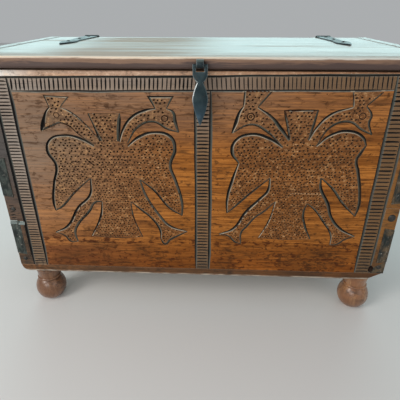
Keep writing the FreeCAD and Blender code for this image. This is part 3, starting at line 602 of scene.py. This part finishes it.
rightBird = dict(
    leftCrestLeft=(0.6, [(80, 376), (81, 403)]),
    leftCrestTop=(0.0, [(81, 403), (129, 403)]),
    leftCrestRight=(0.6, [(129, 403), (106, 375)]),
    leftNeckTop=(0.9, [(106, 375, 0.5), (132, 358, 0.9), (150, 338, 1.2), (168, 315, 0.7)]),
    fanLeft=(0.7, [(168, 315), (153, 370)]),
    fanTop=(0.7, [(153, 370), (213, 371)]),
    fanRight=(0.7, [(213, 371, 0.5), (209, 345, 0.9), (203, 315, 0.6)]),
    rightNeckTop=(0.8, [(203, 315), (214, 340), (236, 364), (273, 377)]),
    rightCrestLeft=(0.5, [(273, 377), (268, 403)]),
    rightCrestTop=(0.0, [(268, 403), (320, 403)]),
    rightCrestRight=(0.5, [(320, 403), (296, 379)]),
    rightHead=(0.75, [(296, 379), (308, 362), (306, 349), (315, 327)]),
    rightNeckLow=(0.75, [(315, 327), (296, 335), (270, 350), (240, 341), (218, 304)]),
    rightWing=(1.0, [(218, 304), (241, 326), (274, 334), (301, 322), (309, 307)]),
    rightShoulder=(1.05, [(309, 307), (302, 291), (297, 278), (304, 255), (316, 208), (319, 180),
                          (315, 157)]),
    rightWingIn=(0.75, [(315, 157), (285, 186), (261, 217), (236, 240)]),
    rightLegOut=(1.05, [(236, 240), (239, 219), (258, 184), (268, 156), (290, 129), (323, 110)]),
    rightToe=(0.6, [(323, 110), (303, 101), (289, 89), (275, 88)]),
    rightLegIn=(0.7, [(275, 88), (273, 112), (252, 145), (232, 171), (216, 184)]),
    tailRight=(0.75, [(216, 184), (212, 164), (219, 132), (233, 101)]),
    tailFoot=(0.2, [(233, 101), (180, 99), (125, 102)]),
    tailLeft=(0.7, [(125, 102), (143, 143), (153, 187)]),
    leftLegIn=(0.75, [(153, 187), (132, 164), (116, 151), (100, 129), (89, 113), (89, 86)]),
    leftToe=(0.6, [(89, 86), (77, 89), (62, 104), (43, 109)]),
    leftLegOut=(1.0, [(43, 109), (71, 123), (95, 163), (124, 196), (135, 210), (138, 238)]),
    leftWingIn=(0.75, [(138, 238), (101, 203), (72, 173), (57, 159)]),
    leftWing=(1.0, [(57, 159), (56, 190), (64, 230), (76, 268)]),
    leftShoulder=(1.05, [(76, 268), (62, 290), (68, 313), (96, 326), (129, 319), (157, 301)]),
    leftNeckLow=(0.75, [(157, 301), (125, 330), (97, 343), (61, 327)]),
    leftHead=(0.85, [(61, 327, 0.6), (67, 347, 1.25), (73, 366, 0.9), (80, 376, 0.5)]))
straightOnes = ("Crest", "fanLeft", "fanTop", "fanRight")
eyes = [(-62, 353, 5.5, 0.5), (-262, 357, 5, 0.35), (94, 358, 6.3, 0.55), (94, 358, 2.2, 0.5),
        (292, 361, 5.6, 0.45)]
scratches = [(0.5, [(-253, 261), (-243, 266), (-231, 263)]), (0.6, [(-219, 273), (-211, 265), (-203, 258)])]

# the ladder borders, as the low and high side of each
bands = dict(top=(403.6, 427.4), left=(-370, -341), right=(338, 369), middle=(-7, 21))
bandFoot = 16
topTilt = 0.0124                                  # the top border climbs a little to the right
chisel = dict(steep=2.2, slope=3.9, deep=2.8)     # an upright wall outside the bird, a longer slope inside
vee = dict(steep=2.2, slope=2.2, deep=2.3)
groove = dict(steep=1.9, slope=4.3, deep=2.3)
nick = dict(steep=1.7, slope=1.7, deep=2.2)


def at(x, z):
    return x / 1000, z / 1000 + baseZ


def bandTop(x):
    return bands["top"][1] + topTilt * x


def bandLow(x):
    return bands["top"][0] - 0.4 + topTilt * x * 0.8


def sideTop(side, x):
    return bandLow(x) if side == "middle" else bandTop(x)


def flatCurve():
    bpy.ops.curve.primitive_bezier_curve_add()
    curve = bpy.context.object
    curve.data.splines.clear()
    curve.data.dimensions = '2D'
    curve.data.fill_mode = 'NONE'
    return curve


def sectionCurve(look):
    # a triangle on its point, carried a little above the face; its right side lies to the right of the stroke
    over = 0.6
    more = 1 + over / look["deep"]
    section = flatCurve()
    spline = section.data.splines.new('POLY')
    spline.points.add(2)
    corners = ((-look["steep"] * more, over), (0, -look["deep"]), (look["slope"] * more, over))
    for knot, (x, y) in zip(spline.points, corners):
        knot.co = (x / 1000, y / 1000, 0, 1)
    spline.use_cyclic_u = True
    return section


def curveCutter(strokes, look):
    # strokes are (points, weight, curved, ring); the section is swept along them, drawn in at the ends,
    # and a point's third number is the weight just there
    section = sectionCurve(look)
    cutter = flatCurve()
    line = cutter.data
    line.bevel_mode = 'OBJECT'
    line.bevel_object = section
    line.use_fill_caps = True
    line.resolution_u = 7
    for points, weight, curved, ring in strokes:
        spline = line.splines.new('BEZIER')
        spline.bezier_points.add(len(points) - 1)
        spline.use_cyclic_u = ring
        for n, (knot, spot) in enumerate(zip(spline.bezier_points, points)):
            knot.co = (*at(*spot[:2]), 0)
            knot.handle_left_type = knot.handle_right_type = 'AUTO' if curved else 'VECTOR'
            tip = n in (0, len(points) - 1) and not ring
            knot.radius = spot[2] if len(spot) > 2 else weight * (0.5 if tip else random.uniform(0.88, 1.12))
    cutter.rotation_euler = (quarter, 0, 0)
    cutter.location = (0, frontY, 0)
    pick(cutter)
    bpy.ops.object.convert(target='MESH')
    cutter = placed()
    weld(0.00001)
    objectMode()
    bpy.data.objects.remove(section, do_unlink=True)
    return cutter


def filled(points):
    # two-point strokes get a short taper at each end
    if len(points) > 2:
        return points
    (x0, z0), (x1, z1) = points
    return [points[0], (x0 + (x1 - x0) * 0.15, z0 + (z1 - z0) * 0.15),
            (x0 + (x1 - x0) * 0.85, z0 + (z1 - z0) * 0.85), points[1]]


def walked(points, curved):
    # the stroke as a fine run of points, for the tests of what is inside
    p = [Vector(q) for q in points]
    if not curved:
        return [tuple(a.lerp(b, t / 6)) for a, b in zip(p, p[1:]) for t in range(6)] + [points[-1]]
    run = []
    for n in range(len(p) - 1):
        before, after = p[max(n - 1, 0)], p[min(n + 2, len(p) - 1)]
        for t in (0, 0.17, 0.33, 0.5, 0.67, 0.83):
            run.append(tuple(0.5 * (2 * p[n] + (p[n + 1] - before) * t
                                    + (2 * before - 5 * p[n] + 4 * p[n + 1] - after) * t * t
                                    + (3 * p[n] - before - 3 * p[n + 1] + after) * t ** 3)))
    return run + [points[-1]]


def inside(spots, ring):
    # even-odd test of many spots at once
    ring = np.array(ring)
    x, z = spots[:, 0], spots[:, 1]
    odd = np.zeros(len(spots), bool)
    for (x0, z0), (x1, z1) in zip(ring, np.roll(ring, -1, 0)):
        crosses = (z0 > z) != (z1 > z)
        if z1 != z0:
            odd ^= crosses & (x < (x1 - x0) * (z - z0) / (z1 - z0) + x0)
    return odd


def nearest(spots, runs):
    # distance from each spot to the slope of the nearest stroke
    best = np.full(len(spots), 1e9)
    for x, z, wide in runs:
        best = np.minimum(best, np.hypot(spots[:, 0] - x, spots[:, 1] - z) - wide)
    return best


def engrave(points, weight, look, curved=True, ring=False):
    cutAway(carvedFront, curveCutter([(points, weight, curved, ring)], look))


def faceBlock(x0, x1, z0, z1, y, deep):
    # a block from its sides in mm
    bpy.ops.mesh.primitive_cube_add(size=1, location=((x0 + x1) / 2000, y, (z0 + z1) / 2000 + baseZ),
                                    scale=((x1 - x0) / 1000, deep, (z1 - z0) / 1000))
    return placed()


# the board itself, with a round bead along its rim and the pins' sockets taken out of its ends
rimLook = dict(round=0.008, segments=8)
low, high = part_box("front_board")
bpy.ops.mesh.primitive_cube_add(size=1, location=(low + high) / 2, scale=high - low)
carvedFront = placed()
carvedFront.name = "carvedFront"
clearPicks('EDGE')
for edge in carvedFront.data.edges:
    ends = [carvedFront.data.vertices[v].co for v in edge.vertices]
    edge.select = all(abs(e.y - low.y) < 1e-5 and abs(e.z - high.z) < 1e-5 for e in ends)
editMode()
bpy.ops.mesh.bevel(offset=rimLook["round"], segments=rimLook["segments"], affect='EDGES')
objectMode()
for end in ("left_end_board", "right_end_board"):
    cutAway(carvedFront, copyNode(end, "socket"))

# corners, in mm: blocks left proud beside the pins and small ledges, as (x, x, z, z), a knot hole,
# five hatch cuts, and a rim worn down at the left, from an x and by a drop at the end
corners = dict(proud=[(-380.2, -371.8, 41, 127), (372.5, 399.5, 152, 177)], rise=1.6, bed=0.006,
               soft=0.0012, knot=(371, 29, 5.5, 9), wear=(-334, 14), jut=3.4,
               ledges=[(-399.5, -384.5, 124.5, 131.5), (-382, -369, 122.5, 129.5)],
               hatch=(-396, -384, (137, 144, 151, 158, 165)))
for sides in corners["proud"]:
    block = faceBlock(*sides, frontY + corners["bed"] / 2, corners["bed"] + corners["rise"] / 500)
    wearEdges(block, corners["soft"])
    joinOn(carvedFront, block)
for sides in corners["ledges"]:
    # a block whose top front edge is pushed back to the face
    ledge = faceBlock(*sides, frontY, corners["jut"] / 500)
    clearPicks('VERT')
    for corner in ledge.data.vertices:
        corner.select = corner.co.y < frontY and corner.co.z > (sides[2] + sides[3]) / 2000 + baseZ
    editMode()
    bpy.ops.transform.translate(value=(0, corners["jut"] / 1000 - 0.0002, 0))
    objectMode()
    joinOn(carvedFront, ledge)
x, z, wide, tall = corners["knot"]
bpy.ops.mesh.primitive_ico_sphere_add(subdivisions=2, radius=0.001, scale=(wide, 5, tall),
                                      location=(x / 1000, frontY, z / 1000 + baseZ))
cutAway(carvedFront, bpy.context.object)
start, drop = corners["wear"]
slant = math.atan2(drop, 400 + start)
half = 0.06
over, along = half * math.sin(slant), half * math.cos(slant)
bpy.ops.mesh.primitive_cube_add(size=half * 2, rotation=(0, -slant, 0),
                                location=(start / 1000 - along - over, frontY, high.z - over + along))
cutAway(carvedFront, bpy.context.object)

rings, allLines = [], []
for bird in (leftBird, rightBird):
    ring = []
    for name, (weight, points) in bird.items():
        curved = not any(word in name for word in straightOnes)
        run = walked([p[:2] for p in points], curved)
        ring += run
        if weight == 0:
            continue
        allLines += [(x, z, weight * chisel["slope"]) for x, z in run]
        engrave(filled(points), weight, chisel, curved)
    rings.append(ring)
for x, z, r, weight in eyes:
    engrave([(x + r, z), (x, z + r), (x - r, z), (x, z - r)], weight, vee, ring=True)
for weight, points in scratches:
    engrave(points, weight, vee)
x0, x1, heights = corners["hatch"]
strokes = [([(x0, z), (x0 + 4, z + 0.4), (x1 - 4, z + 0.8), (x1, z + 0.4)], 0.8, True, False)
           for z in heights]
cutAway(carvedFront, curveCutter(strokes, nick))
print("birds drawn", len(carvedFront.data.polygons), "faces")

# long border grooves; the side borders own the corners
grooveLook = dict(knots=14, sideKnots=10, sway=0.55, weights=[1.0, 0.72, 1.15, 1.15, 0.95, 0.8, 0.85, 1.0])
innerLeft, innerRight = bands["left"][1], bands["right"][0]


def swayed(value):
    return value + random.uniform(-grooveLook["sway"], grooveLook["sway"])


def evenly(start, end, count):
    return np.linspace(start, end, count).tolist()


longLines = [[(x, swayed(bandTop(x))) for x in evenly(-401, 401, grooveLook["knots"])],
             [(x, swayed(bandLow(x))) for x in evenly(innerLeft, innerRight, grooveLook["knots"])]]
for side in ("left", "right", "middle"):
    for x in bands[side]:
        heights = evenly(bandFoot, sideTop(side, x), grooveLook["sideKnots"])
        longLines.append([(swayed(x), z) for z in heights])
for n, (points, weight) in enumerate(zip(longLines, grooveLook["weights"])):
    engrave(points, weight, groove if n else vee)

# the short strokes across each border: along the top one they lean in to the middle
topRungs = dict(middle=7, lean=1.8, leftWeight=0.88, rightWeight=0.68, uneven=(0.8, 1.15), pitch=(6.8, 8.4))
strokes = []
x = innerLeft + 6
while x < innerRight - 3:
    onLeft = x < topRungs["middle"]
    lean = topRungs["lean"] if onLeft else -topRungs["lean"]
    weight = topRungs["leftWeight"] if onLeft else topRungs["rightWeight"]
    foot, head = bandLow(x) + 1.5, bandTop(x) - 1.5
    strokes.append(([(x, foot), (x + lean * 0.3, foot + 5), (x + lean * 0.8, head - 5), (x + lean, head)],
                    weight * random.uniform(*topRungs["uneven"]), True, False))
    x += random.uniform(*topRungs["pitch"])
cutAway(carvedFront, curveCutter(strokes, nick))
sideRungs = dict(left=dict(weight=0.75, pitch=(5.7, 6.8)), right=dict(weight=0.95, pitch=(7.2, 8.9)),
                 middle=dict(weight=0.95, pitch=(6.6, 8.0)))
tilt, uneven = (-0.6, 1.0), (0.75, 1.2)
for side, look in sideRungs.items():
    x0, x1 = bands[side]
    strokes = []
    z = bandFoot + 6
    while z < sideTop(side, x0) - 4:
        end = z + random.uniform(*tilt)
        strokes.append(([(x0 + 2, z), (x0 + 7, z + 0.2), (x1 - 7, z + 0.3), (x1 - 2, end)],
                        look["weight"] * random.uniform(*uneven), True, False))
        z += random.uniform(*look["pitch"])
    cutAway(carvedFront, curveCutter(strokes, nick))
print("borders cut", len(carvedFront.data.polygons), "faces")

# punch marks inside the birds; from one height to the next they grow and stand further apart
punchLook = dict(wide=3.8, tall=2.8, deep=0.0028, lean=-0.42, turn=0.4, apart=5.9, grow=(190, 300),
                 small=(0.58, 0.86), large=(0.78, 1.08), pitch=(6.0, 1.1), row=(4.8, 0.7), strayX=1.6,
                 strayZ=1.2, clear=2.2, top=398, eyeRoom=4.6,
                 plain=[(-280, 344, 19), (70, 342, 13), (304, 342, 11)])
bpy.ops.mesh.primitive_cone_add(vertices=4, radius1=0.001, radius2=0, depth=punchLook["deep"] * 1.3,
                                location=(0, 0, 0), rotation=(-quarter, 0, 0))
punch = bpy.context.object
bpy.ops.object.transform_apply(location=False, rotation=True, scale=False)
clearPicks('VERT')
max(punch.data.vertices, key=lambda v: v.co.y).select = True
editMode()
bpy.ops.transform.translate(value=(-0.00035, 0, 0.00035))     # steep above and left, long below and right
objectMode()
marks = []
growLow, growHigh = punchLook["grow"]
for ring in rings:
    (ringX0, ringZ0), (ringX1, ringZ1) = np.min(ring, 0), np.max(ring, 0)
    z, row = ringZ0, 0
    while z < ringZ1:
        full = min(max((z - growLow) / (growHigh - growLow), 0), 1)
        pitch = punchLook["pitch"][0] + punchLook["pitch"][1] * full
        x = ringX0 + (row % 2) * pitch / 2
        while x < ringX1:
            size = random.uniform(*punchLook["small"]) * (1 - full)
            size += random.uniform(*punchLook["large"]) * full
            marks.append((x + random.uniform(-punchLook["strayX"], punchLook["strayX"]),
                          z + random.uniform(-punchLook["strayZ"], punchLook["strayZ"]), size))
            x += pitch
        row += 1
        z += punchLook["row"][0] + punchLook["row"][1] * full
spots = np.array([m[:2] for m in marks])
keep = inside(spots, rings[0]) | inside(spots, rings[1])
keep &= (nearest(spots, allLines) > punchLook["clear"]) & (spots[:, 1] < punchLook["top"])
for x, z, r in [(x, z, r + punchLook["eyeRoom"]) for x, z, r, weight in eyes] + punchLook["plain"]:
    keep &= np.hypot(spots[:, 0] - x, spots[:, 1] - z) > r
copies, taken = [], np.full((1, 2), 1e4)
for (x, z, size), ok in zip(marks, keep):
    if not ok or np.hypot(*(taken - (x, z)).T).min() < punchLook["apart"] * size:
        continue
    taken = np.vstack([taken, (x, z)])
    one = punch.copy()
    bpy.context.collection.objects.link(one)
    px, pz = at(x, z)
    lean = punchLook["lean"] * (1 if size > 0.75 else 0.4)
    one.location = (px, frontY + punchLook["deep"] * 0.35, pz)
    one.rotation_euler = (0, lean + random.uniform(-punchLook["turn"], punchLook["turn"]), 0)
    one.scale = (punchLook["wide"] * size, 1, punchLook["tall"] * size)
    copies.append(one)
bpy.data.objects.remove(punch, do_unlink=True)
copies[0].data = copies[0].data.copy()
pick(*copies[1:], copies[0])
bpy.ops.object.join()
pick(bpy.context.object)
cutAway(carvedFront, placed())
print("punched", len(copies), "marks,", len(carvedFront.data.polygons), "faces")

# each face takes the finish of where it lies
mesh = carvedFront.data
pick(carvedFront)
editMode()
bpy.ops.mesh.select_all(action='SELECT')
bpy.ops.mesh.quads_convert_to_tris(quad_method='BEAUTY', ngon_method='BEAUTY')
objectMode()
coats = ["panelWood", "birdWood", "bandWood", "cutPatina", "pitPatina", "marginWood", "beadWood", "borderCut",
         "ledgeWood", "endWood", "chestWood"]
mesh.materials.clear()
for name in coats:
    mesh.materials.append(mats[name])


def perFace(label):
    values = np.empty(len(mesh.polygons) * 3)
    mesh.polygons.foreach_get(label, values)
    return values.reshape(-1, 3)


centre, normal = perFace("center"), perFace("normal")
across, up = centre[:, 0] * 1000, (centre[:, 2] - baseZ) * 1000
spots = np.stack([across, up], 1)
sunk = (centre[:, 1] - frontY) * 1000
topGroove, lowGroove = bandTop(across), bandLow(across)
face = (sunk < 0.03) & (normal[:, 1] < -0.99) | (sunk < -0.05)
carved = (sunk >= 0.03) & (sunk < 3.5) & (normal[:, 1] < -0.1) & (up < topGroove + 3)
inBird = inside(spots, rings[0]) | inside(spots, rings[1])
inBand = (up > lowGroove) & (up < topGroove) & (abs(across) < 372)
for side in ("left", "right", "middle"):
    x0, x1 = bands[side]
    inBand |= (across > x0) & (across < x1) & (up > bandFoot) & (up < topGroove)
toLine = nearest(spots, allLines)
finish = np.zeros(len(mesh.polygons), np.int32)


def paint(where, name):
    finish[where] = coats.index(name)


paint(face & inBird, "birdWood")
paint(face & inBand, "bandWood")
paint(carved, "borderCut")
paint(carved & (inBird | (toLine < 2)), "cutPatina")
paint(carved & inBird & (toLine > 0.2), "pitPatina")
paint(face & (abs(across) > 370.5), "marginWood")
paint((finish == coats.index("panelWood")) & (up > topGroove + 1.5), "beadWood")
paint((normal[:, 2] > 0.97) & (up > topGroove + 3), "chestWood")
x, z, wide, tall = corners["knot"]
paint((np.hypot((across - x) / wide, (up - z) / tall) < 1.05) & (sunk > 0.03), "pitPatina")
onLedge = (sunk < -0.05) & (across < -366) & (up > 119) & (up < 136)
# the ledges' upward faces take a painted highlight
paint(onLedge & (normal[:, 2] > 0.2), "ledgeWood")
paint((finish == coats.index("marginWood")) & (across > 377) & (up < 40), "endWood")
mesh.polygons.foreach_set("material_index", finish)
smooth(carvedFront)
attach(carvedFront, "box")
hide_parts("front_board")
print("front finished")


# end boards, with the end grain of their pins broken up
grainLook = dict(margin=0.0008, cuts=9, border=0.0003, rough=0.0007, seed=5)
for node in ("left_end_board", "right_end_board"):
    board = copyNode(node, node + ".worn")
    reach = min(v.co.y for v in board.data.vertices)
    clearPicks('FACE')
    for face in board.data.polygons:
        face.select = face.normal.y < -0.9 and face.center.y < reach + 0.0005
    editMode()
    bpy.ops.mesh.inset(thickness=grainLook["margin"], use_individual=True)
    bpy.ops.mesh.subdivide(number_cuts=grainLook["cuts"])
    bpy.ops.mesh.inset(thickness=grainLook["border"])
    bpy.ops.transform.vertex_random(offset=grainLook["rough"], uniform=0, normal=1, seed=grainLook["seed"])
    objectMode()
    board.data.materials.append(mats["endWood"])
    smooth(board)
    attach(board, "box")
    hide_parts(node)
print("end grain broken")

# ironwork with filed edges, over the plain solids
irons = dict(hasp=("hasp", 0.0018, "haspIron"), hasp_eye=("lid", 0.001, "eyeIron"),
             left_hinge_lid_strap=("lid", 0.0007, "forgedIron"),
             right_hinge_lid_strap=("lid", 0.0007, "forgedIron"))
for node, (body, width, finish) in irons.items():
    iron = copyNode(node, node + ".filed")
    wearEdges(iron, width, 3)
    iron.data.materials.append(mats[finish])
    smooth(iron)
    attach(iron, body)
    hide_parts(node)
knobLook = dict(place=(387.5, 156), radius=0.0078, rise=0.0042, sunk=-0.0008, tall=1.08)
x, z = at(*knobLook["place"])
bpy.ops.mesh.primitive_uv_sphere_add(segments=20, ring_count=12, radius=knobLook["radius"],
                                     location=(x, frontY + knobLook["sunk"], z),
                                     scale=(1, knobLook["rise"] / knobLook["radius"], knobLook["tall"]))
knob = placed()
knob.name = "cornerKnob"
knob.data.materials.append(mats["nailIron"])
smooth(knob, 60)
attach(knob, "box")
print("irons filed")

# the front plank, worn away under its corners: side, length along and height in mm
plankLook = dict(wear=[(1, 36, 20), (-1, 12, 9)], edge=0.0015, cutter=(0.1, 0.4, 0.1), back=0.07)
wornPlank = copyNode("bottom_plank_front", "wornPlank")
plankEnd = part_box("bottom_plank_front")[1].x
for side, along, up in plankLook["wear"]:
    slant = math.atan2(up, along)
    middle = Vector((side * (plankEnd - along / 2000), frontY + plankLook["back"], baseZ + up / 2000))
    out = Vector((side * math.sin(slant), 0, -math.cos(slant)))
    bpy.ops.mesh.primitive_cube_add(size=1, location=middle + out * (plankLook["cutter"][2] / 2),
                                    rotation=(0, -side * slant, 0), scale=plankLook["cutter"])
    cutAway(wornPlank, bpy.context.object)
wearEdges(wornPlank, plankLook["edge"], 2, 40)
wornPlank.data.materials.clear()
wornPlank.data.materials.append(mats["bottomWood"])
smooth(wornPlank)
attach(wornPlank, "box")
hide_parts("bottom_plank_front")
print("plank worn")


# floor, light and camera
floorLook = dict(size=14, colour=(0.72, 0.72, 0.71, 1), rough=0.9)
bpy.ops.mesh.primitive_plane_add(size=floorLook["size"], location=(0, 0, 0))
floor = bpy.context.object
floor.name = "floor"
floorMat, tree, shader = newMat("floorMat")
fill(shader, {'Base Color': floorLook["colour"], 'Roughness': floorLook["rough"]})
floor.data.materials.append(floorMat)

worldLook = dict(colour=(0.9, 0.93, 0.95, 1), strength=0.45)
scene = bpy.context.scene
world = scene.world or bpy.data.worlds.new("studio")
scene.world = world
world.use_nodes = True
fill(world.node_tree.nodes['Background'], {0: worldLook["colour"], 1: worldLook["strength"]})

# each lamp: where it stands, what it looks at, width and height, power and tint
lamps = dict(key=((-1.9, -1.7, 1.75), (0, -0.2, 0.3), (1.1, 1.1), 36, (1, 0.97, 0.93)),
             front=((-0.8, -2.4, 0.85), (0, -0.2, 0.35), (1.2, 0.8), 13, (1, 0.98, 0.96)),
             fill=((1.8, -2.0, 1.0), (0, -0.2, 0.3), (1.4, 1.4), 6, (1, 0.98, 0.96)),
             window=((0.1, 2.6, 1.5), (0, 0.1, 0.5), (4.6, 1.7), 50, (0.65, 0.99, 1.0)))
for name, (spot, aim, size, power, tint) in lamps.items():
    bpy.ops.object.light_add(type='AREA', location=spot)
    light = bpy.context.object
    light.name = name
    light.data.shape = 'RECTANGLE'
    light.data.size, light.data.size_y = size
    light.data.energy = power
    light.data.color = tint
    light.rotation_euler = (Vector(aim) - Vector(spot)).to_track_quat('-Z', 'Y').to_euler()

cameraLook = dict(spot=(0.0319, -0.8952, 0.633), tilt=63.166, swing=2.467, lens=34.41, sensor=36, near=0.01)
bpy.ops.object.camera_add(location=cameraLook["spot"],
                          rotation=(math.radians(cameraLook["tilt"]), 0, math.radians(cameraLook["swing"])))
camera = bpy.context.object
camera.data.lens = cameraLook["lens"]
camera.data.sensor_width = cameraLook["sensor"]
camera.data.clip_start = cameraLook["near"]
scene.camera = camera
scene.view_settings.view_transform = 'Standard'
print("stage set")
